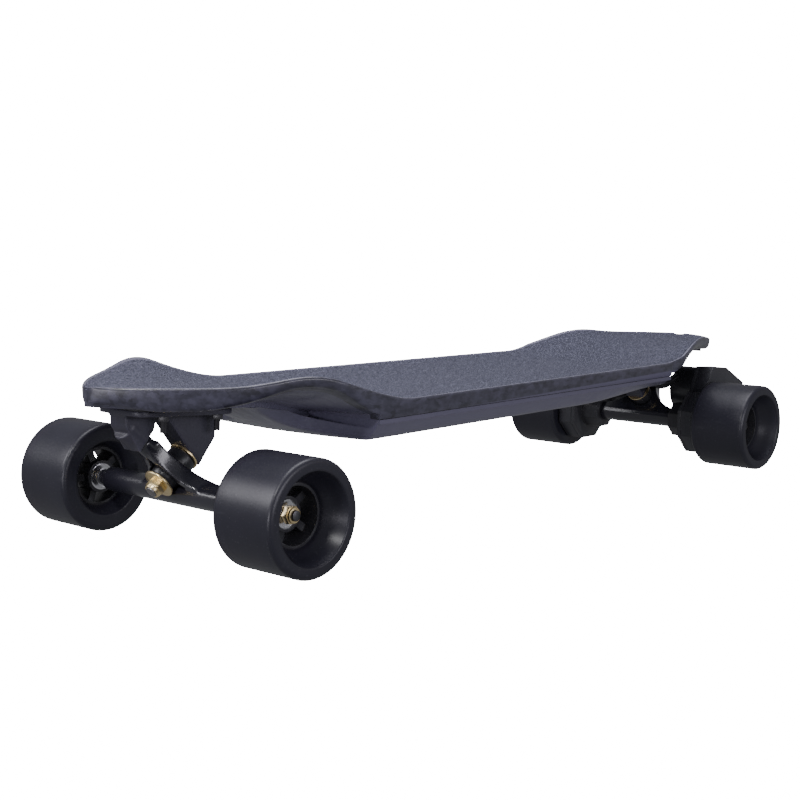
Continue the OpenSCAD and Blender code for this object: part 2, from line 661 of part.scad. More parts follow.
module tyre(end, side) {
  r = wheel_d / 2;
  color("black") at_wheel(end, side) translate([0, 0, wheel_face]) rotate_extrude($fn = 96) polygon(concat(
    [[core_r, core_in], [core_r + 1.5, core_in - 4], [inner_dish_r - 2, 3], [inner_dish_r, 0]],
    arc(r - lip_r, lip_r, lip_r, -90, 0, 6), arc(r - lip_r, wheel_w - lip_r, lip_r, 0, 90, 6),
    [[dish_r, wheel_w], [dish_r - 1.2, wheel_w - 4], [dish_r - 4.5, wheel_w - 10], [core_r + 1.5, core_out + 2.5],
     [core_r, core_out]]));
}

hub_r = 13.5;
seat_in = shoulder_y - wheel_face;
module core(end, side) {
  color("darkslategray") at_wheel(end, side) translate([0, 0, wheel_face]) difference() {
    union() {
      difference() {
        translate([0, 0, core_in]) cylinder(r = core_r, h = core_out - core_in);
        translate([0, 0, core_in - 1]) cylinder(r = core_r - 2.2, h = core_out - core_in + 2);
      }
      translate([0, 0, seat_in]) cylinder(r = hub_r, h = 2 * bearing_w + spacer_l);
      for (i = [0 : 4]) rotate([0, 0, i * 72]) translate([hub_r - 2, -3, seat_in + 6])
        cube([core_r - hub_r + 1, 6, spacer_l + bearing_w]);
    }
    translate([0, 0, seat_in - 1]) cylinder(d = bearing_d, h = bearing_w + 1);
    translate([0, 0, seat_in + bearing_w + spacer_l]) cylinder(d = bearing_d, h = bearing_w + 10);
    translate([0, 0, seat_in - 1]) cylinder(d = bearing_d - 3, h = 60);
  }
}

module bearing() {
  d = bearing_d;
  bore = axle_d / 2 + run_gap;
  rotate_extrude() polygon([[bore, 0], [bore + 2, 0], [bore + 2, 0.5], [d / 2 - 1.4, 0.5], [d / 2 - 1.4, 0],
    [d / 2, 0], [d / 2, bearing_w], [d / 2 - 1.4, bearing_w], [d / 2 - 1.4, bearing_w - 0.5],
    [bore + 2, bearing_w - 0.5], [bore + 2, bearing_w], [bore, bearing_w]]);
}

module bearings(end, side) {
  color("silver") at_wheel(end, side) {
    translate([0, 0, shoulder_y]) bearing();
    translate([0, 0, shoulder_y + bearing_w + spacer_l]) bearing();
    translate([0, 0, shoulder_y + bearing_w]) difference() {
      cylinder(d = axle_d + 4, h = spacer_l);
      translate([0, 0, -1]) cylinder(d = axle_d + 2 * run_gap, h = spacer_l + 2);
    }
  }
}

// ---------- belt drive: x outward, y away from the board's middle ----------
motor_x = 40;
motor_z = 30;
plate_in = 68;
plate_t = 4;
cover_wall = 1.5;
cover_out = wheel_face - move_gap;
belt_in = plate_in + plate_t + 2.5;
pulley_l = belt_w + 1;
wheel_pulley_r = wheel_teeth * belt_pitch / PI / 2 - 0.57;
motor_pulley_r = motor_teeth * belt_pitch / PI / 2 - 0.57;
belt_gap = 0.4;
belt_t = 2.2;
motor_far = sqrt(motor_x * motor_x + motor_z * motor_z);
motor_turn = atan2(motor_z, motor_x);
// Local drawing plane: x outward, y up, and the extrusion runs away from the board's middle.
module at_drive(side) {
  at_truck(-1) mirror([0, side > 0 ? 0 : 1, 0]) rotate([90, 0, 0]) children();
}

// Two round lobes joined by their common tangents
module belt_body(r1, r2, h) {
  a = acos((r1 - r2) / motor_far);
  t1 = r1 - 0.02;
  t2 = r2 - 0.02;
  rotate([0, 0, motor_turn]) {
    cylinder(r = r1, h = h);
    translate([motor_far, 0, 0]) cylinder(r = r2, h = h);
    linear_extrude(h) polygon([[t1 * cos(a), t1 * sin(a)], [motor_far + t2 * cos(a), t2 * sin(a)],
      [motor_far + t2 * cos(a), -t2 * sin(a)], [t1 * cos(a), -t1 * sin(a)]]);
  }
}

module tooth_disc(r, teeth) {
  depth = 1.7;
  step = 360 / teeth;
  polygon([for (i = [0 : teeth - 1]) for (p = [[-0.32, r], [0.1, r], [0.22, r - depth], [0.56, r - depth]])
    p[1] * [cos((i + p[0]) * step), sin((i + p[0]) * step)]]);
}

module wheel_pulley(side) {
  color("dimgray") at_drive(side) difference() {
    union() {
      translate([0, 0, belt_in - 0.5]) linear_extrude(pulley_l) tooth_disc(wheel_pulley_r, wheel_teeth);
      translate([0, 0, belt_in]) cylinder(r = core_r - 3.5, h = shoulder_y + 4 - belt_in);
    }
    translate([0, 0, belt_in - 1]) cylinder(r = hub_r + 1, h = 60);
  }
}

shaft_d = 8;
module motor_pulley(side) {
  color("silver") at_drive(side) translate([motor_x, motor_z, 0]) difference() {
    translate([0, 0, belt_in - 0.5]) linear_extrude(pulley_l) tooth_disc(motor_pulley_r, motor_teeth);
    translate([0, 0, belt_in - 2]) cylinder(d = shaft_d, h = 40);
  }
}

module belt(side) {
  color("black") at_drive(side) translate([0, 0, belt_in]) difference() {
    belt_body(wheel_pulley_r + belt_gap + belt_t, motor_pulley_r + belt_gap + belt_t, belt_w);
    translate([0, 0, -1]) belt_body(wheel_pulley_r + belt_gap, motor_pulley_r + belt_gap, belt_w + 2);
  }
}

cover_r = 33;
// The outline clockwise: an octagon around the axle that runs into the arm around the motor
function cover_corners() = let (r = cover_r, s = cover_r * tan(22.5)) [[-r, -s], [-r, s], [-s, r], [-10.5, r], [3, 60],
  [34, 58], [73, 39], [71, 12], [44, -12], [21.6, -25], [s, -r], [-s, -r]];
// Moves each edge of a clockwise outline inward by w and joins the neighbours again
function unit(v) = v / norm(v);
function edge_shift(p, q, w) = let (d = unit(q - p)) [d[1], -d[0]] * w;
function cross2(a, b) = a[0] * b[1] - a[1] * b[0];
function drawn_in(pts, w) = [for (i = [0 : len(pts) - 1])
  let (n = len(pts), a = pts[(i + n - 1) % n], b = pts[i], c = pts[(i + 1) % n],
    p = a + edge_shift(a, b, w), d = b - a, q = b + edge_shift(b, c, w), e = c - b)
  p + d * cross2(q - p, e) / cross2(d, e)];
module cover_body(w, h) linear_extrude(h) polygon(drawn_in(cover_corners(), w));

module belt_cover(side) {
  color("dimgray") at_drive(side) difference() {
    translate([0, 0, plate_in + plate_t]) cover_body(0, cover_out - plate_in - plate_t);
    translate([0, 0, plate_in]) cover_body(cover_wall + 0.5, cover_out - plate_in - cover_wall);
    translate([0, 0, 60]) cylinder(r = core_r - 1.5, h = 60);
  }
}

clamp_in = 47;
clamp_r = 18;
module motor_mount(side) {
  color("dimgray") at_drive(side) difference() {
    union() {
      translate([0, 0, clamp_in]) rotate([0, 0, 22.5]) cylinder(r = clamp_r / cos(22.5), h = plate_in - clamp_in, $fn = 8);
      translate([0, 0, plate_in]) cover_body(0, plate_t);
    }
    translate([0, 0, clamp_in - 1]) cylinder(r = tube_r, h = 60);
    translate([motor_x, motor_z, plate_in - 1]) cylinder(d = motor_nose_d, h = plate_t + 2);
  }
}

motor_nose_d = 20;
can_wall = 2;
can_in = plate_in - motor_l + 2;
module motor_housing(side) {
  color("dimgray") at_drive(side) translate([motor_x, motor_z, 0]) difference() {
    union() {
      translate([0, 0, can_in]) cylinder(d = motor_d, h = plate_in - can_in);
      translate([0, 0, plate_in - 1]) cylinder(d = motor_nose_d, h = plate_t);
    }
    translate([0, 0, can_in + 3]) cylinder(d = motor_d - 2 * can_wall, h = plate_in - can_in - 6);
    translate([0, 0, can_in + 1]) cylinder(d = shaft_d + 2 * run_gap, h = 80);
  }
}

rotor_d = 26;
module motor_rotor(side) {
  color("silver") at_drive(side) translate([motor_x, motor_z, 0]) {
    translate([0, 0, can_in + 1.5]) cylinder(d = shaft_d, h = belt_in + pulley_l - can_in - 1.5);
    translate([0, 0, can_in + 7]) cylinder(d = rotor_d, h = plate_in - can_in - 14);
  }
}

module motor_stator(side) {
  color("chocolate") at_drive(side) translate([motor_x, motor_z, can_in + 6]) difference() {
    cylinder(d = motor_d - 2 * can_wall, h = plate_in - can_in - 12);
    translate([0, 0, -1]) cylinder(d = rotor_d + 1.6, h = 60);
  }
}

// ---------- motor cables ----------
cable_d = 8;
// The route in the drive's plane: outward, up, away from the middle
cable_route = [[18, 45.5, 35], [15, 44, 34.5], [8, 40.5, 34], [0, 37.5, 33.5], [-12, 36.5, 33], [-26, 39, 32.5],
  [-40, 43.5, 32], [-52, 48, 32], [-62, 51.5, 32], [-73, 53.2, 32], [-86, 53.2, 32]];
cable_sides = 10;
function along(i) = let (n = len(cable_route) - 1) unit(cable_route[min(n, i + 1)] - cable_route[max(0, i - 1)]);
function swept_ring(i) = let (t = along(i), a = unit(cross(t, [0, 0, 1])), b = cross(t, a))
  [for (k = [0 : cable_sides - 1]) let (g = 360 * k / cable_sides)
    cable_route[i] + cable_d / 2 * (a * cos(g) + b * sin(g))];
module cable_tube() {
  n = len(cable_route);
  m = cable_sides;
  sides = [for (i = [0 : n - 2]) for (j = [0 : m - 1])
    let (a = i * m + j, b = i * m + (j + 1) % m) each [[a, b, a + m], [b, b + m, a + m]]];
  polyhedron(points = [for (i = [0 : n - 1]) each swept_ring(i)],
    faces = concat(sides, [[for (j = [m - 1 : -1 : 0]) j], [for (j = [0 : m - 1]) (n - 1) * m + j]]));
}
module motor_cable(side) color("black") at_drive(side) cable_tube();
module cable_bore(side) {
  at_drive(side) translate(cable_route[len(cable_route) - 1]) rotate([0, -90, 0]) translate([0, 0, -30])
    cylinder(d = cable_d + 0.6, h = 60);
}

deck();
grip_tape();
hull();
hull_gasket();
hull_screws();
battery_cells();
cell_holders();
battery_management_board();
motor_controller();
power_button_bezel();
power_button();
charge_socket();
tail_bumper();
shock_pads();
baseplate(1);  // front_baseplate
baseplate(-1);  // rear_baseplate
kingpins();
kingpin_nuts();
kingpin_washers();
bushings(1);  // front_bushings
bushings(-1);  // rear_bushings
pivot_cups();
deck_bolts();
deck_nuts();
hanger(1);  // front_hanger
hanger(-1);  // rear_hanger
axle(1);  // front_axle
axle(-1);  // rear_axle
axle_hardware(1);  // front_axle_hardware
axle_hardware(-1);  // rear_axle_hardware
motor_mount(1);  // left_motor_mount
motor_mount(-1);  // right_motor_mount
motor_housing(1);  // left_motor_housing
motor_housing(-1);  // right_motor_housing
motor_stator(1);  // left_motor_stator
motor_stator(-1);  // right_motor_stator
motor_rotor(1);  // left_motor_rotor
motor_rotor(-1);  // right_motor_rotor
motor_pulley(1);  // left_motor_pulley
motor_pulley(-1);  // right_motor_pulley
belt(1);  // left_belt
belt(-1);  // right_belt
belt_cover(1);  // left_belt_cover
belt_cover(-1);  // right_belt_cover
motor_cable(1);  // left_motor_cable
motor_cable(-1);  // right_motor_cable
tyre(1, 1);  // front_left_tyre
tyre(1, -1);  // front_right_tyre
tyre(-1, 1);  // rear_left_tyre
tyre(-1, -1);  // rear_right_tyre
core(1, 1);  // front_left_core
core(1, -1);  // front_right_core
core(-1, 1);  // rear_left_core
core(-1, -1);  // rear_right_core
bearings(1, 1);  // front_left_bearings
bearings(1, -1);  // front_right_bearings
bearings(-1, 1);  // rear_left_bearings
bearings(-1, -1);  // rear_right_bearings
wheel_pulley(1);  // left_wheel_pulley
wheel_pulley(-1);  // right_wheel_pulley
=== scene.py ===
import math
import json

import bmesh
import bpy
from mathutils import Matrix, Vector


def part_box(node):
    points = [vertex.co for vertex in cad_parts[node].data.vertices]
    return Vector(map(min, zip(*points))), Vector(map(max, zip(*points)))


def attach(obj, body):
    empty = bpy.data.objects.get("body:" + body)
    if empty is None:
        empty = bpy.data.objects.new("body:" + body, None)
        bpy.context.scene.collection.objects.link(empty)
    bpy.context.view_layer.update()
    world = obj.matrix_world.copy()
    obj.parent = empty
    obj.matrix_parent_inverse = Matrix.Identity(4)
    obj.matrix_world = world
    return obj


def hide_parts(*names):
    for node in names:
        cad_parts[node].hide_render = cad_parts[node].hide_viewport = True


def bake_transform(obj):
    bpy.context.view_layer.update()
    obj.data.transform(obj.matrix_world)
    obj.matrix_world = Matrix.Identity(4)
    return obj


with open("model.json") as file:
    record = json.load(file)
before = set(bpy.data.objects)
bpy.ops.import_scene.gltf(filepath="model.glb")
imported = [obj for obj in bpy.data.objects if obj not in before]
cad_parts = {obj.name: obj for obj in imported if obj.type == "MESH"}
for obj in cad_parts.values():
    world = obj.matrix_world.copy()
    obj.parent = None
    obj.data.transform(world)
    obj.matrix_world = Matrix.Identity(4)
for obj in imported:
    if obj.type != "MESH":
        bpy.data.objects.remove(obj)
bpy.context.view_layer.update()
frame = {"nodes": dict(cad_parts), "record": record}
MM = 0.001


# ---------- camera, floor and lights ----------
def aim(place, target):
    return (Vector(target) - Vector(place)).to_track_quat("-Z", "Y").to_matrix().to_4x4()


def make_camera():
    azimuth, elevation, roll = (math.radians(a) for a in (131.464, 7.013, 0.706))
    back = Vector((math.sin(azimuth) * math.cos(elevation), -math.cos(azimuth) * math.cos(elevation),
                   math.sin(elevation)))
    across = Vector((math.cos(azimuth), math.sin(azimuth), 0))
    up = back.cross(across)
    side = across * math.cos(roll) + up * math.sin(roll)
    top = up * math.cos(roll) - across * math.sin(roll)
    lens = bpy.data.cameras.new("camera")
    lens.sensor_width = 36
    lens.lens = 64.49
    lens.clip_end = 40
    eye = bpy.data.objects.new("camera", lens)
    bpy.context.collection.objects.link(eye)
    turn = Matrix((side, top, back)).transposed().to_4x4()
    eye.matrix_world = Matrix.Translation((1.05243, 0.86643, 0.25702)) @ turn
    bpy.context.scene.camera = eye


def softbox(name, place, target, size, watts, tint=(1, 1, 1)):
    lamp = bpy.data.lights.new(name, "AREA")
    lamp.shape = "RECTANGLE"
    lamp.size, lamp.size_y = size
    lamp.energy = watts
    lamp.color = tint
    holder = bpy.data.objects.new(name, lamp)
    bpy.context.collection.objects.link(holder)
    holder.matrix_world = Matrix.Translation(place) @ aim(place, target)
    return holder


make_camera()


# ---------- shader sums ----------
class Wire:
    """A socket that takes part in ordinary sums; each sum adds its Math node."""

    def __init__(self, book, socket):
        self.book = book
        self.socket = socket

    def sum(self, operation, *values):
        return self.book.node("ShaderNodeMath", {"operation": operation}, *values)

    def __add__(self, other):
        return self.sum("ADD", self, other)

    def __radd__(self, other):
        return self.sum("ADD", other, self)

    def __sub__(self, other):
        return self.sum("SUBTRACT", self, other)

    def __rsub__(self, other):
        return self.sum("SUBTRACT", other, self)

    def __mul__(self, other):
        return self.sum("MULTIPLY", self, other)

    def __rmul__(self, other):
        return self.sum("MULTIPLY", other, self)

    def __pow__(self, other):
        return self.sum("POWER", self, other)


class Finish:
    """One material: its nodes are added by node(), and coat() sets the surface."""

    def __init__(self, name):
        self.material = bpy.data.materials.new(name)
        self.material.use_nodes = True
        self.tree = self.material.node_tree
        self.surface = self.tree.nodes["Principled BSDF"]
        self.place = self.node("ShaderNodeTexCoord", out="Object")

    def node(self, kind, settings=None, *values, out=0, **named):
        made = self.tree.nodes.new(kind)
        for key, value in (settings or {}).items():
            if key == "stops":
                ramp = made.color_ramp
                while len(ramp.elements) < len(value):
                    ramp.elements.new(0.5)
                for stop, (at, colour) in zip(ramp.elements, value):
                    stop.position = at
                    stop.color = (*colour, 1) if len(colour) == 3 else colour
            else:
                setattr(made, key, value)
        for index, value in list(enumerate(values)) + list(named.items()):
            self.feed(made.inputs[index.replace("_", " ") if isinstance(index, str) else index], value)
        return Wire(self, made.outputs[out])

    def feed(self, socket, value):
        if isinstance(value, Wire):
            self.tree.links.new(value.socket, socket)
        elif isinstance(value, tuple) and socket.type == "RGBA" and len(value) == 3:
            socket.default_value = (*value, 1)
        else:
            socket.default_value = value

    def noise(self, scale, detail=3, rough=0.55, at=None, stretch=None):
        spot = at or self.place
        if stretch:
            spot = self.node("ShaderNodeMapping", None, spot, Scale=stretch)
        return self.node("ShaderNodeTexNoise", None, Vector=spot, Scale=scale, Detail=detail, Roughness=rough)

    def grains(self, scale, out="Distance", feature="F1", chaos=1.0):
        return self.node("ShaderNodeTexVoronoi", {"feature": feature}, Vector=self.place, Scale=scale,
                         Randomness=chaos, out=out)

    def ramp(self, factor, *stops):
        return self.node("ShaderNodeValToRGB", {"stops": stops}, factor)

    def step(self, value, low, high):
        return self.node("ShaderNodeMapRange", {"interpolation_type": "SMOOTHSTEP"}, value, low, high)

    def blend(self, factor, a, b):
        made = self.tree.nodes.new("ShaderNodeMix")
        made.data_type = "RGBA"
        self.feed(made.inputs[0], factor)
        self.feed(made.inputs[6], a)
        self.feed(made.inputs[7], b)
        return Wire(self, made.outputs[2])

    def worn_edges(self, low=0.51, high=0.58):
        return self.step(self.node("ShaderNodeNewGeometry", out="Pointiness"), low, high)

    def bump(self, height, strength, depth=0.0005, under=None):
        feeds = {"Height": height, "Strength": strength, "Distance": depth}
        if under:
            feeds["Normal"] = under
        return self.node("ShaderNodeBump", None, **feeds)

    def coat(self, **sockets):
        for name, value in sockets.items():
            self.feed(self.surface.inputs[name.replace("_", " ")], value)
        return self.material


def grip_finish():
    f = Finish("silicon carbide grip")
    grit = f.grains(620)
    fine = f.noise(900, 2)
    speck = f.step(f.noise(420, 2, 0.7), 0.4, 0.62)
    glint = f.step(f.noise(1300, 1), 0.62, 0.7)
    dust = f.noise(9, 4)
    tone = f.blend(dust, (0.14, 0.143, 0.21), (0.185, 0.189, 0.27))
    tone = f.blend(speck * 0.6, (0.045, 0.046, 0.07), tone)
    tone = f.blend(f.step(grit, 0.2, 0.7) * 0.35, tone, (0.03, 0.031, 0.048))
    tone = f.blend(glint * 0.6, tone, (0.6, 0.62, 0.76))
    rough = 0.8 - glint * 0.35
    relief = (1 - grit) * 0.7 + fine * 0.5
    return f.coat(Base_Color=tone, Roughness=rough, Normal=f.bump(relief, 0.8, 0.0007), Specular_IOR_Level=0.3)


def carbon_tone(f, light, dark, fleck):
    """Short chopped strands at two angles, each chip a little lighter or darker"""
    strands = f.node("ShaderNodeMapping", None, f.place, Rotation=(0.3, 0.2, 0.7), Scale=(1, 2.2, 2.2))
    chips = f.node("ShaderNodeTexVoronoi", {"feature": "F1", "distance": "CHEBYCHEV"}, Vector=strands, Scale=115,
                   out="Color")
    chip = f.node("ShaderNodeSeparateColor", None, chips)
    lines = f.noise(520, 2, stretch=(0.25, 1, 1))
    mottle = f.step(f.noise(150, 3, stretch=(0.6, 1, 1)), 0.36, 0.64)
    return f.blend((chip * 0.45 + lines * 0.25 + mottle * 0.4) * fleck, dark, light), chip


def carbon_finish(name, light, dark, fleck=0.5, rough=0.3, clear=0.7):
    """Moulded carbon composite under a clear satin coat"""
    f = Finish(name)
    tone, chip = carbon_tone(f, light, dark, fleck)
    haze = f.noise(14, 3)
    return f.coat(Base_Color=tone, Roughness=rough + (chip - 0.5) * 0.12 + haze * 0.08, Coat_Weight=clear,
                  Coat_Roughness=0.22, Normal=f.bump(haze, 0.06, 0.002))


def deck_side_finish(bare_light, bare_dark, paint_light, paint_dark):
    """Bare chopped carbon along the top of the side, and satin paint below a straight masked line"""
    f = Finish("deck side, carbon over paint")
    x = f.node("ShaderNodeSeparateXYZ", None, f.place)
    z = f.node("ShaderNodeSeparateXYZ", None, f.place, out=2)
    tone, chip = carbon_tone(f, bare_light, bare_dark, 0.9)
    paint = f.blend(f.noise(26, 3), paint_dark, paint_light)
    line = 0.1063 - x * 0.0157
    bare = f.step(z - line, -0.0004, 0.0006)
    haze = f.noise(14, 3)
    return f.coat(Base_Color=f.blend(bare, paint, tone), Roughness=0.4 - bare * 0.06 + haze * 0.06,
                  Coat_Weight=bare * 0.35 + 0.2, Coat_Roughness=0.25,
                  Normal=f.bump(haze + bare * 0.2, 0.08, 0.001))


def satin_paint(name, light, dark, rough=0.42, grain=1200, depth=0.25, clear=0.0, edge=0.25):
    f = Finish(name)
    cast = f.noise(grain, 3)
    cloud = f.noise(40, 4)
    tone = f.blend(cloud, dark, light)
    tone = f.blend(f.worn_edges() * edge, tone, tuple(min(1, c * 3 + 0.05) for c in light))
    return f.coat(Base_Color=tone, Roughness=rough + (cloud - 0.5) * 0.12, Coat_Weight=clear, Coat_Roughness=0.15,
                  Normal=f.bump(cast, depth, 0.0003))


def urethane_finish():
    f = Finish("cast urethane")
    cloud = f.noise(22, 4)
    pores = f.step(f.noise(700, 2), 0.66, 0.76)
    scuffs = f.step(f.noise(150, 5, stretch=(1, 0.12, 1)), 0.62, 0.78)
    tone = f.blend(cloud, (0.0125, 0.012, 0.019), (0.022, 0.021, 0.033))
    tone = f.blend(scuffs * 0.25, tone, (0.07, 0.07, 0.08))
    tone = f.blend(pores * 0.3, tone, (0.16, 0.16, 0.18))
    return f.coat(Base_Color=tone, Roughness=0.36 + (cloud - 0.5) * 0.1 + scuffs * 0.15,
                  Normal=f.bump(f.noise(500, 3), 0.12, 0.0002))


def rubber_finish(name, tone, rough=0.6, grain=900, depth=0.3):
    f = Finish(name)
    cloud = f.noise(60, 3)
    light = tuple(c * 1.6 + 0.004 for c in tone)
    return f.coat(Base_Color=f.blend(cloud, tone, light), Roughness=rough + (cloud - 0.5) * 0.15,
                  Normal=f.bump(f.noise(grain, 3), depth, 0.0003))


def metal_finish(name, tone, rough=0.25, brush=(1, 1, 14), stain=0.25):
    f = Finish(name)
    lines = f.noise(700, 3, stretch=brush)
    smear = f.noise(70, 4)
    dull = tuple(c * 0.62 for c in tone)
    colour = f.blend(f.step(smear, 0.45, 0.75) * stain, tone, dull)
    return f.coat(Base_Color=colour, Metallic=1.0, Roughness=rough + lines * 0.12 + smear * 0.06,
                  Normal=f.bump(lines, 0.08, 0.0001))


def board_finish():
    f = Finish("circuit board")
    tracks = f.node("ShaderNodeTexBrick", None, Vector=f.place, Scale=220, out="Fac")
    tone = f.blend(tracks * 0.5, (0.01, 0.09, 0.035), (0.03, 0.2, 0.09))
    return f.coat(Base_Color=tone, Roughness=0.35 + tracks * 0.15, Normal=f.bump(tracks, 0.2, 0.0001))


def floor_finish():
    f = Finish("pale floor")
    cloud = f.noise(2, 3)
    return f.coat(Base_Color=f.blend(cloud, (0.93, 0.93, 0.94), (0.96, 0.96, 0.965)), Roughness=0.85 + cloud * 0.05,
                  Specular_IOR_Level=0.2, Emission_Color=(1.0, 1.0, 1.0), Emission_Strength=24.0)


finishes = {
    "grip": grip_finish(),
    "carbon_deck": deck_side_finish((0.075, 0.072, 0.112), (0.01, 0.0095, 0.017), (0.125, 0.116, 0.182),
                                    (0.094, 0.088, 0.14)),
    # rim: a lighter copy of the deck's carbon, a painted highlight along the top of the rim
    "rim": carbon_finish("deck rim painted highlight", (0.34, 0.335, 0.44), (0.2, 0.197, 0.27), 0.3, 0.3, 0.5),
    "hull_shell": carbon_finish("hull", (0.14, 0.132, 0.2), (0.1, 0.094, 0.146), 0.25, 0.34, 0.4),
    "tyre_urethane": urethane_finish(),
    "core_plastic": satin_paint("wheel core", (0.03, 0.03, 0.036), (0.018, 0.018, 0.022), 0.4, 900, 0.2),
    "hanger_metal": satin_paint("black cast hanger", (0.024, 0.023, 0.034), (0.013, 0.0125, 0.019), 0.24, 700,
                                0.25, 0.8),
    "baseplate_metal": satin_paint("cast baseplate", (0.055, 0.053, 0.075), (0.036, 0.034, 0.05), 0.42, 800, 0.3),
    "drive_metal": satin_paint("machined mount", (0.03, 0.03, 0.035), (0.018, 0.018, 0.022), 0.38, 1500, 0.15),
    "cover_plastic": satin_paint("belt cover", (0.026, 0.026, 0.032), (0.016, 0.016, 0.02), 0.42, 1400, 0.3),
    "motor_can": satin_paint("motor can", (0.032, 0.032, 0.038), (0.02, 0.02, 0.024), 0.34, 1500, 0.15, 0.3),
    "black_bolt": satin_paint("black oxide bolt", (0.035, 0.034, 0.038), (0.018, 0.018, 0.02), 0.34, 1500, 0.15),
    "axle_steel": metal_finish("dark axle", (0.14, 0.14, 0.15), 0.3),
    "gold_plated": metal_finish("gold zinc plate", (0.92, 0.75, 0.42), 0.22, stain=0.25),
    "kingpin_steel": metal_finish("kingpin steel", (0.3, 0.29, 0.29), 0.25),
    "bearing_steel": metal_finish("bearing race", (0.78, 0.78, 0.8), 0.12),
    "steel": metal_finish("screw steel", (0.55, 0.55, 0.56), 0.25),
    "switch_metal": metal_finish("bezel steel", (0.6, 0.6, 0.61), 0.25),
    "rotor_steel": metal_finish("rotor steel", (0.5, 0.5, 0.51), 0.3),
    "pulley_metal": metal_finish("pulley aluminium", (0.55, 0.55, 0.56), 0.35),
    "controller_case": metal_finish("controller case", (0.45, 0.45, 0.46), 0.4),
    "copper_winding": metal_finish("copper winding", (0.6, 0.25, 0.1), 0.3, (1, 20, 1)),
    "cell_sleeve": satin_paint("cell sleeve", (0.05, 0.22, 0.45), (0.03, 0.14, 0.3), 0.35, 500, 0.1),
    "inner_plastic": satin_paint("cell holder", (0.7, 0.69, 0.64), (0.6, 0.59, 0.54), 0.5, 800, 0.2),
    "circuit_board": board_finish(),
    "switch_plastic": satin_paint("button", (0.02, 0.02, 0.024), (0.014, 0.014, 0.016), 0.25, 900, 0.1),
    "socket_plastic": satin_paint("socket", (0.024, 0.024, 0.026), (0.015, 0.015, 0.017), 0.45, 900, 0.2),
    "pulley_plastic": satin_paint("wheel pulley", (0.03, 0.03, 0.034), (0.02, 0.02, 0.023), 0.45, 900, 0.2),
    "cup_plastic": rubber_finish("pivot cup", (0.02, 0.02, 0.022), 0.5),
    "seal_rubber": rubber_finish("gasket", (0.016, 0.016, 0.018), 0.7),
    "bumper_rubber": rubber_finish("tail bumper", (0.018, 0.018, 0.02), 0.62),
    "pad_rubber": rubber_finish("shock pad", (0.02, 0.02, 0.023), 0.6),
    "bushing_urethane": rubber_finish("bushing", (0.018, 0.018, 0.022), 0.35, 400, 0.1),
    "belt_rubber": rubber_finish("belt", (0.016, 0.016, 0.017), 0.65, 1200, 0.5),
    "cable_jacket": rubber_finish("cable jacket", (0.02, 0.02, 0.023), 0.42, 700, 0.1),
}
slot_of = {part["node"]: part["material_slot"] for part in frame["record"]["subparts"]}
body_of = {node: body for body, nodes in frame["record"]["behaviour"]["bodies"].items() for node in nodes}
for node, piece in frame["nodes"].items():
    piece.data.materials.clear()
    piece.data.materials.append(finishes[slot_of[node]])


# ---------- mesh tools ----------
def piece_from(mesh, name, node, *slots):
    """A finished piece that rides with, and stands for, one CAD node"""
    piece = bpy.data.objects.new(name, mesh)
    bpy.context.collection.objects.link(piece)
    for slot in slots or (slot_of[node],):
        mesh.materials.append(finishes[slot])
    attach(piece, body_of[node])
    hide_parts(node)
    return piece


def sharpen(mesh, degrees=32):
    work = bmesh.new()
    work.from_mesh(mesh)
    bmesh.ops.recalc_face_normals(work, faces=work.faces)
    for face in work.faces:
        face.smooth = True
    for edge in work.edges:
        edge.smooth = len(edge.link_faces) == 2 and edge.calc_face_angle() < math.radians(degrees)
    work.to_mesh(mesh)
    work.free()


def loft(name, rings):
    """A closed skin through rings of points in millimetres, with both ends filled"""
    count = len(rings[0])
    points = [tuple(c * MM for c in p) for ring in rings for p in ring]
    faces = []
    for i in range(len(rings) - 1):
        a, b = i * count, (i + 1) * count
        faces += [(a + j, a + (j + 1) % count, b + (j + 1) % count, b + j) for j in range(count)]
    last = (len(rings) - 1) * count
    faces += [tuple(range(count - 1, -1, -1)), tuple(range(last, last + count))]
    mesh = bpy.data.meshes.new(name)
    mesh.from_pydata(points, [], faces)
    return mesh


def applied(piece):
    """The piece's modifiers become its mesh."""
    view = bpy.context.evaluated_depsgraph_get()
    mesh = bpy.data.meshes.new_from_object(piece.evaluated_get(view), depsgraph=view)
    bpy.data.objects.remove(piece)
    return mesh


def softened(node, width=0.35, round_cast=0.0, degrees=32):
    """A copy of a CAD node with rounded edges; a cast part is remeshed and smoothed all over."""
    mesh = frame["nodes"][node].data.copy()
    mesh.materials.clear()
    work = bmesh.new()
    work.from_mesh(mesh)
    bmesh.ops.remove_doubles(work, verts=work.verts, dist=2e-6)
    bmesh.ops.dissolve_limit(work, angle_limit=math.radians(0.4), verts=work.verts, edges=work.edges)
    work.to_mesh(mesh)
    work.free()
    copy = bpy.data.objects.new(node, mesh)
    bpy.context.collection.objects.link(copy)
    if round_cast:
        voxels = copy.modifiers.new("skin", "REMESH")
        voxels.mode = "VOXEL"
        voxels.voxel_size = round_cast * MM
        relax = copy.modifiers.new("relax", "SMOOTH")
        relax.factor = 0.5
        relax.iterations = 7
    else:
        edges = copy.modifiers.new("edges", "BEVEL")
        edges.width = width * MM
        edges.segments = 2
        edges.limit_method = "ANGLE"
        edges.angle_limit = math.radians(degrees)
        edges.use_clamp_overlap = True
    mesh = applied(copy)
    if round_cast:
        for face in mesh.polygons:
            face.use_smooth = True
    else:
        sharpen(mesh, 28)
    return piece_from(mesh, node + "_piece", node)


# ---------- deck outline and heights, in millimetres ----------
WHEELBASE, NOSE, TAIL = 675, 87, 80
LENGTH = WHEELBASE + NOSE + TAIL
FRONT = LENGTH / 2 - NOSE
REAR = FRONT - WHEELBASE


def clamp01(t):
    return min(1, max(0, t))


def ease(a, b, u):
    t = clamp01((u - a) / (b - a))
    return t * t * (3 - 2 * t)


def bell(u, mid, spread):
    return math.exp(-(((u - mid) / spread) ** 2) / 2)


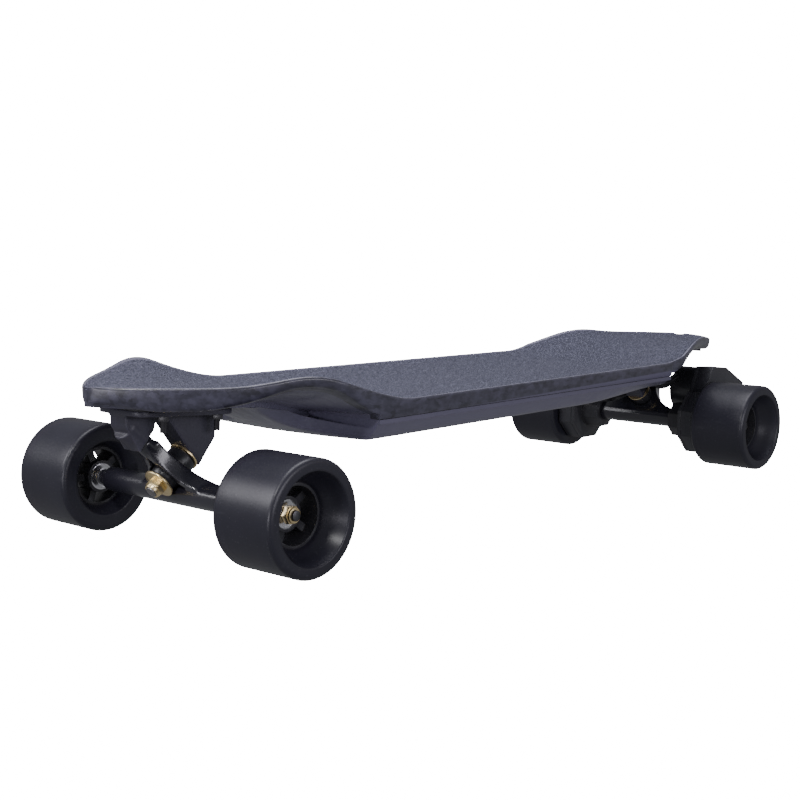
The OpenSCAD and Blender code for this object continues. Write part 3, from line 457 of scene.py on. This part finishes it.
def mix(a, b, t):
    return a + (b - a) * t


def nose_curve(d):
    return 119.5 * (1 - (1 - clamp01(d / 212)) ** 2.5)


def half_w(x):
    if x > LENGTH / 2 - 207:
        return math.sqrt(max(0, nose_curve(LENGTH / 2 - x + 5) ** 2 - nose_curve(5) ** 2))
    if x < 185 - LENGTH / 2:
        d = x + LENGTH / 2
        return (102.5 - 0.29 * max(0, 160 - d)) * (1 - clamp01((68 - d) / 68) ** 2.2) ** 0.5
    return mix(102.5, 119.5, clamp01((x + LENGTH / 2 - 185) / (LENGTH - 392)))


def out_u(x):
    return x - FRONT if x > 0 else REAR - x


def rim_z(x):
    u = out_u(x)
    if x > 0:
        return 118 + 17 * ease(-150, -50, u) + 7 * bell(u, -38, 24)
    return 118 + 16 * ease(-118, -25, u) + 4 * bell(u, -7, 22)


def centre_z(x):
    return 112 + 19 * ease(-150 if x > 0 else -125, 30, out_u(x))


def top_z(x, y):
    w = half_w(x)
    dish = (rim_z(x) - min(centre_z(x), rim_z(x) - 2)) * mix(0.3, 1, ease(0, 75, w))
    return rim_z(x) - dish * (1 - clamp01(abs(y) / max(1, w)) ** 2.6)


WELL, SPINE, BAND_FLOOR = -105, 40, 104


def pad_plane(u):
    return 115 + 0.06 * u


def band_low(x):
    u = out_u(x)
    if u <= WELL:
        return BAND_FLOOR
    arch = mix(106, rim_z(x) - 9, ease(-117, -63, u) ** 0.8)
    return mix(arch, rim_z(x) - (18 - 6 * ease(50, 88, u) if x > 0 else 13), ease(-35, 40, u))


def tuck(x):
    return min(1, half_w(x) / 25) * (1.2 + 3.6 * ease(WELL, WELL + 60, out_u(x)))


def under_z(x, y):
    u = out_u(x)
    if u <= WELL:
        return BAND_FLOOR
    if y <= SPINE:
        return min(mix(BAND_FLOOR, pad_plane(u), clamp01((u - WELL) / 55)), top_z(x, y) - 6)
    roof = mix(BAND_FLOOR, pad_plane(u) + 4, ease(-115, -50, u))
    across = clamp01((y - SPINE) / max(1, half_w(x) - 3 - SPINE))
    return min(mix(roof, band_low(x), across), top_z(x, y) - 6)


def spaced(a, b, n, ends=False):
    """n steps from a to b, closer together near b where ends is true"""
    return [mix(a, b, math.sin(math.pi / 2 * i / n) if ends else i / n) for i in range(n)]


def deck_stations():
    nose, tail = LENGTH / 2 - 0.35, -LENGTH / 2 + 0.6
    tail_end = list(reversed(spaced(tail + 60, tail, 34, True)))
    rear_well, front_well = REAR - WELL, FRONT + WELL
    middle = spaced(tail + 61.5, rear_well - 0.1, 60) + [rear_well - 0.1, rear_well + 0.15]
    middle += spaced(rear_well + 3, front_well - 0.2, 90) + [front_well - 0.2, front_well + 0.1]
    middle += spaced(front_well + 2, nose - 60, 66)
    return [tail] + tail_end + middle + spaced(nose - 60, nose, 36, True) + [nose]


def deck_half(x):
    """Half of a section, from the edge of the grip over the rim and back under to the middle"""
    w = half_w(x)
    r = min(1, w / 25)
    inner = w - 5 * r
    low = min(band_low(x), rim_z(x) - 6)
    z = rim_z(x)
    grip_edge = top_z(x, inner)
    points = [(inner * k / 10, top_z(x, inner * k / 10) - 1) for k in range(1, 11)]
    points += [(inner + 0.25 * r, grip_edge - 0.1), (inner + 0.8 * r, grip_edge + 0.25),
               (w - 2.4 * r, z + 0.15), (w - 1.5 * r, z), (w - 0.7 * r, z - 0.5), (w - 0.15 * r, z - 1.3),
               (w, z - 2.2)]
    t, h = tuck(x), z - low
    points += [(w - 0.1 * t, low + 0.5 * h), (w - 0.22 * t, low + 0.32 * h), (w - 0.4 * t, low + 0.18 * h),
               (w - 0.65 * t, low + 0.08 * h), (w - t, low + 0.03 * h), (w - t - 0.8 * r, low + 0.01 * h)]
    edge = w - t - 1.8 * r
    points.append((edge, under_z(x, edge)))
    a, b = min(SPINE + 0.6, w * 0.6), min(SPINE, w * 0.55)
    points += [(mix(edge, a, k / 9), under_z(x, mix(edge, a, k / 9))) for k in range(1, 9)]
    points += [(a, under_z(x, a)), (b, under_z(x, b)), (b * 0.5, under_z(x, b * 0.5))]
    return points


def make_deck():
    rings = []
    for x in deck_stations():
        half = deck_half(x)
        ring = [(x, 0, top_z(x, 0) - 1)] + [(x, y, z) for y, z in half]
        ring += [(x, 0, under_z(x, 0))] + [(x, -y, z) for y, z in reversed(half)]
        rings.append(ring)
    mesh = loft("deck_piece", rings)
    piece = piece_from(mesh, "deck_piece", "deck", "carbon_deck", "rim", "hull_shell")
    count = len(rings[0])
    for face in mesh.polygons:
        j = face.index % count
        k = min(j, count - 1 - j)
        # faces 10 to 13 of each half ring, the top of the rim, take the lighter rim finish as a painted highlight;
        # the underside takes the hull finish
        face.material_index = 1 if 9 < k < 14 else 2 if k > 24 else 0
        if face.index >= (len(rings) - 1) * count:
            face.material_index = 0
    sharpen(mesh, 38)
    return piece


def make_grip():
    rings = []
    steps = 12
    for x in deck_stations():
        w = half_w(x)
        inner = w - 5 * min(1, w / 25) - 0.1
        ys = [inner * k / steps for k in range(steps + 1)]
        top = [(x, y, top_z(x, y)) for y in ys[:-1]] + [(x, inner - 0.2, top_z(x, inner) - 0.05)]
        ring = top + [(x, inner, top_z(x, inner) - 0.5), (x, inner, top_z(x, inner) - 1)]
        ring += [(x, y, top_z(x, y) - 1) for y in reversed(ys[1:-1])]
        rings.append(ring + [(x, 0, top_z(x, 0) - 1)] + [(x, -y, z) for x, y, z in reversed(ring[1:])])
    mesh = loft("grip_tape_piece", rings)
    piece_from(mesh, "grip_tape_piece", "grip_tape")
    sharpen(mesh, 40)


FLOOR, RAMP_END, LEAN = 86.5, 57, 12


def hull_floor(x):
    return FLOOR + (7.5 * ease(-255, -105, out_u(x)) if x <= 0 else 0)


def cut_corners(points, times=2):
    """Rounds a run of points by cutting each corner; the two ends stay"""
    for _ in range(times):
        cut = [points[0]]
        for (a, b), (c, d) in zip(points, points[1:]):
            cut += [(mix(a, c, 0.25), mix(b, d, 0.25)), (mix(a, c, 0.75), mix(b, d, 0.75))]
        points = cut + [points[-1]]
    return points


def hull_half(x):
    """Half of a section of the hull, from the gasket down the side and in to the keel"""
    u = out_u(x)
    arch = u - WELL
    in_well = arch > 0
    top = (mix(BAND_FLOOR, pad_plane(u), clamp01(arch / 55)) if in_well else BAND_FLOOR) - 0.05
    side = half_w(x) - 1.25
    end_x = FRONT + WELL if x > 0 else REAR - WELL
    lip = math.exp(-max(0, arch) / 5)
    edge = mix(hull_floor(end_x), top - 1.5, clamp01(arch / RAMP_END)) if in_well else hull_floor(x)
    upper = SPINE - 1 if in_well else side
    lip_w = mix(SPINE - 2, side - 3, lip) if in_well else side - 0.2 * LEAN
    lip_z = min(top - 0.6, hull_floor(end_x) + 10 + arch * 0.4) if in_well else top - 4
    low_w = lip_w - 0.8 * LEAN * (mix(0.5, 1, lip) if in_well else 1)
    crown = 2.5 - 2.2 * clamp01(arch / RAMP_END)
    curve = [(lip_w, lip_z), (mix(lip_w, low_w, 0.6), mix(lip_z, edge, 0.66)), (low_w, edge + 0.4),
             (low_w - 4, edge - 0.3), (low_w * 0.5, edge - 0.75 * crown), (12, edge - crown)]
    return [(upper, top), (upper, lip_z + 0.3)] + cut_corners(curve)


def make_hull():
    front, rear = FRONT + WELL, REAR - WELL
    ramp = [0.05, 0.6, 1.3, 2, 3, 4, 5, 6.5, 8, 10, 12, 14] + [14 + 43 * k / 16 for k in range(1, 17)]
    xs = [rear - s for s in reversed(ramp)] + [mix(rear + 0.3, front - 0.3, k / 110) for k in range(111)]
    rings = []
    for x in xs + [front + s for s in ramp]:
        half = hull_half(x)
        rings.append([(x, y, z) for y, z in half] + [(x, -y, z) for y, z in reversed(half)])
    mesh = loft("hull_piece", rings)
    piece_from(mesh, "hull_piece", "hull")
    sharpen(mesh, 34)


def lathe(name, node, profile, centre, outward, steps=160):
    """A ring of rubber or metal turned about the axle; profile is radius and distance from the inner face"""
    points, faces = [], []
    for k in range(steps):
        turn = 2 * math.pi * k / steps
        points += [(centre[0] + r * MM * math.cos(turn), centre[1] + outward * t * MM,
                    centre[2] + r * MM * math.sin(turn)) for r, t in profile]
    n = len(profile)
    for k in range(steps):
        a, b = k * n, (k + 1) % steps * n
        faces += [(a + j, a + (j + 1) % n, b + (j + 1) % n, b + j) for j in range(n)]
    mesh = bpy.data.meshes.new(name)
    mesh.from_pydata(points, [], faces)
    piece_from(mesh, name, node)
    sharpen(mesh, 40)


def quarter(cx, cy, r, start, steps=8):
    """A quarter circle from the angle start"""
    turns = [math.radians(start + 90 * k / steps) for k in range(steps + 1)]
    return [(cx + r * math.cos(turn), cy + r * math.sin(turn)) for turn in turns]


def make_tyres():
    """Each tyre has a rounded tread edge and a smooth bowl down to its core"""
    bowl = cut_corners([(37.4, 62), (35.5, 62), (34.4, 59.5), (30.6, 51.6), (27.0, 46.4), (25.6, 44.4),
                        (24.5, 42)], 3)
    inner = cut_corners([(24.5, 12), (26, 8), (29, 3), (31, 0), (33, 0)], 2)
    profile = inner + quarter(41, 4, 4, -90) + [(45, t) for t in (14, 24, 34, 44)] + quarter(41, 58, 4, 0) + bowl
    for end in ("front", "rear"):
        for side, outward in (("left", 1), ("right", -1)):
            node = f"{end}_{side}_tyre"
            low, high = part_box(node)
            middle = [(a + b) / 2 for a, b in zip(low, high)]
            face = low[1] if outward > 0 else high[1]
            lathe(node + "_piece", node, profile, (middle[0], face, middle[2]), outward)


AXLE_HEIGHT = 45
WIRE_SIDES = 10
PHASE_WIRES = ((0, 1.75, 2.15), (1, 1.75, 2.15), (2, 1.75, 2.15))  # third of a turn, radius, distance off the middle
SENSOR_WIRE = (1.5, 0.9, 3.0)
CABLE_ROUTE = [(18, 45.5, 35), (15, 44, 34.5), (8, 40.5, 34), (0, 37.5, 33.5), (-12, 36.5, 33), (-26, 39, 32.5),
               (-40, 43.5, 32), (-52, 48, 32), (-62, 51.5, 32), (-73, 53.2, 32), (-86, 53.2, 32)]


def smooth_path(knots, steps=8):
    """Points on a smooth curve through the knots"""
    knots = [Vector(k) for k in knots]
    padded = [knots[0] * 2 - knots[1]] + knots + [knots[-1] * 2 - knots[-2]]
    path = []
    for a, b, c, d in zip(padded, padded[1:], padded[2:], padded[3:]):
        for k in range(steps):
            t = k / steps
            path.append((b * 2 + (c - a) * t + (a * 2 - b * 5 + c * 4 - d) * t * t
                         + (b * 3 - a - c * 3 + d) * t ** 3) / 2)
    return path + [knots[-1]]


def make_cables():
    """Three phase wires and a thin sensor wire, laid in a slow twist, from each motor into the hull"""
    for side, way in (("left", 1), ("right", -1)):
        node = f"{side}_motor_cable"
        path = [Vector((REAR - a, way * c, AXLE_HEIGHT + b)) for a, b, c in smooth_path(CABLE_ROUTE)]
        points, faces = [], []
        for wire, radius, ride in (*PHASE_WIRES, SENSOR_WIRE):
            base = len(points)
            for i, spot in enumerate(path):
                along = (path[min(i + 1, len(path) - 1)] - path[max(i - 1, 0)]).normalized()
                across = along.cross(Vector((0, 1, 0))).normalized()
                third = along.cross(across)
                lay = 2 * math.pi * wire / 3 + i * 0.05
                mid = spot + (across * math.cos(lay) + third * math.sin(lay)) * ride
                for k in range(WIRE_SIDES):
                    turn = 2 * math.pi * k / WIRE_SIDES
                    points.append((mid + (across * math.cos(turn) + third * math.sin(turn)) * radius) * MM)
            n = WIRE_SIDES
            end = base + len(path) * n
            for a in range(base, end - n, n):
                faces += [(a + k, a + (k + 1) % n, a + n + (k + 1) % n, a + n + k) for k in range(n)]
            faces += [tuple(range(base + n - 1, base - 1, -1)), tuple(range(end - n, end))]
        mesh = bpy.data.meshes.new(node + "_piece")
        mesh.from_pydata(points, [], faces)
        piece = bpy.data.objects.new(node + "_piece", mesh)
        bpy.context.collection.objects.link(piece)
        mesh.materials.append(finishes["cable_jacket"])
        sharpen(mesh, 50)
        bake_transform(piece)
        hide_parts(node)


make_deck()
make_grip()
make_hull()
make_tyres()
make_cables()

# ---------- mechanical pieces ----------
for node in ("front_hanger", "rear_hanger"):
    softened(node, round_cast=0.9)
for node in ("front_baseplate", "rear_baseplate"):
    softened(node, round_cast=0.8)
for side in ("left", "right"):
    for node, width in (("motor_mount", 0.8), ("motor_housing", 1.0), ("belt_cover", 1.2), ("wheel_pulley", 0.15),
                        ("motor_pulley", 0.15), ("belt", 0.2)):
        softened(f"{side}_{node}", width)
    for end in ("front", "rear"):
        softened(f"{end}_{side}_core", 0.5)
        softened(f"{end}_{side}_bearings", 0.15)
for node, width in (("kingpins", 0.4), ("kingpin_nuts", 0.5), ("kingpin_washers", 0.6), ("deck_bolts", 0.4),
                    ("deck_nuts", 0.4), ("front_axle", 0.5), ("rear_axle", 0.5), ("front_axle_hardware", 0.4),
                    ("rear_axle_hardware", 0.4), ("front_bushings", 0.8), ("rear_bushings", 0.8), ("pivot_cups", 0.4),
                    ("shock_pads", 0.4), ("tail_bumper", 0.8), ("power_button_bezel", 0.3), ("power_button", 0.4),
                    ("charge_socket", 0.3)):
    softened(node, width)

# ---------- studio ----------
floor_mesh = bpy.data.meshes.new("floor")
floor_mesh.from_pydata([(-30, -30, 0), (30, -30, 0), (30, 30, 0), (-30, 30, 0)], [], [(0, 1, 2, 3)])
floor_mesh.materials.append(floor_finish())
floor = bpy.data.objects.new("floor", floor_mesh)
bpy.context.collection.objects.link(floor)
floor.visible_diffuse = floor.visible_glossy = False

world = bpy.data.worlds.new("studio")
bpy.context.scene.world = world
world.use_nodes = True
sky = world.node_tree.nodes
ambient = sky["Background"]
ambient.inputs["Color"].default_value = (0.94, 0.95, 1, 1)
ambient.inputs["Strength"].default_value = 0.26
backdrop = sky.new("ShaderNodeBackground")
backdrop.inputs["Color"].default_value = (1, 1, 1, 1)
backdrop.inputs["Strength"].default_value = 24
seen = sky.new("ShaderNodeLightPath")
choice = sky.new("ShaderNodeMixShader")
for a, b in ((seen.outputs["Is Camera Ray"], choice.inputs[0]), (ambient.outputs[0], choice.inputs[1]),
             (backdrop.outputs[0], choice.inputs[2]), (choice.outputs[0], sky["World Output"].inputs["Surface"])):
    world.node_tree.links.new(a, b)
softbox("top light", (0.0, -0.1, 1.6), (0, 0, 0.1), (1.5, 0.8), 19, (0.94, 0.94, 1))
softbox("left light", (1.3, -0.7, 0.8), (0.2, 0, 0.08), (0.8, 0.6), 10, (0.96, 0.95, 1))
softbox("right light", (0.2, 1.5, 0.42), (0.1, 0, 0.08), (1.4, 0.35), 9, (0.94, 0.92, 1))
softbox("low front light", (1.5, 0.25, 0.12), (0.3, 0.05, 0.09), (0.5, 0.2), 3, (0.94, 0.92, 1))
softbox("sparkle", (1.1, 0.3, 0.9), (0.34, 0, 0.06), (0.12, 0.12), 4)
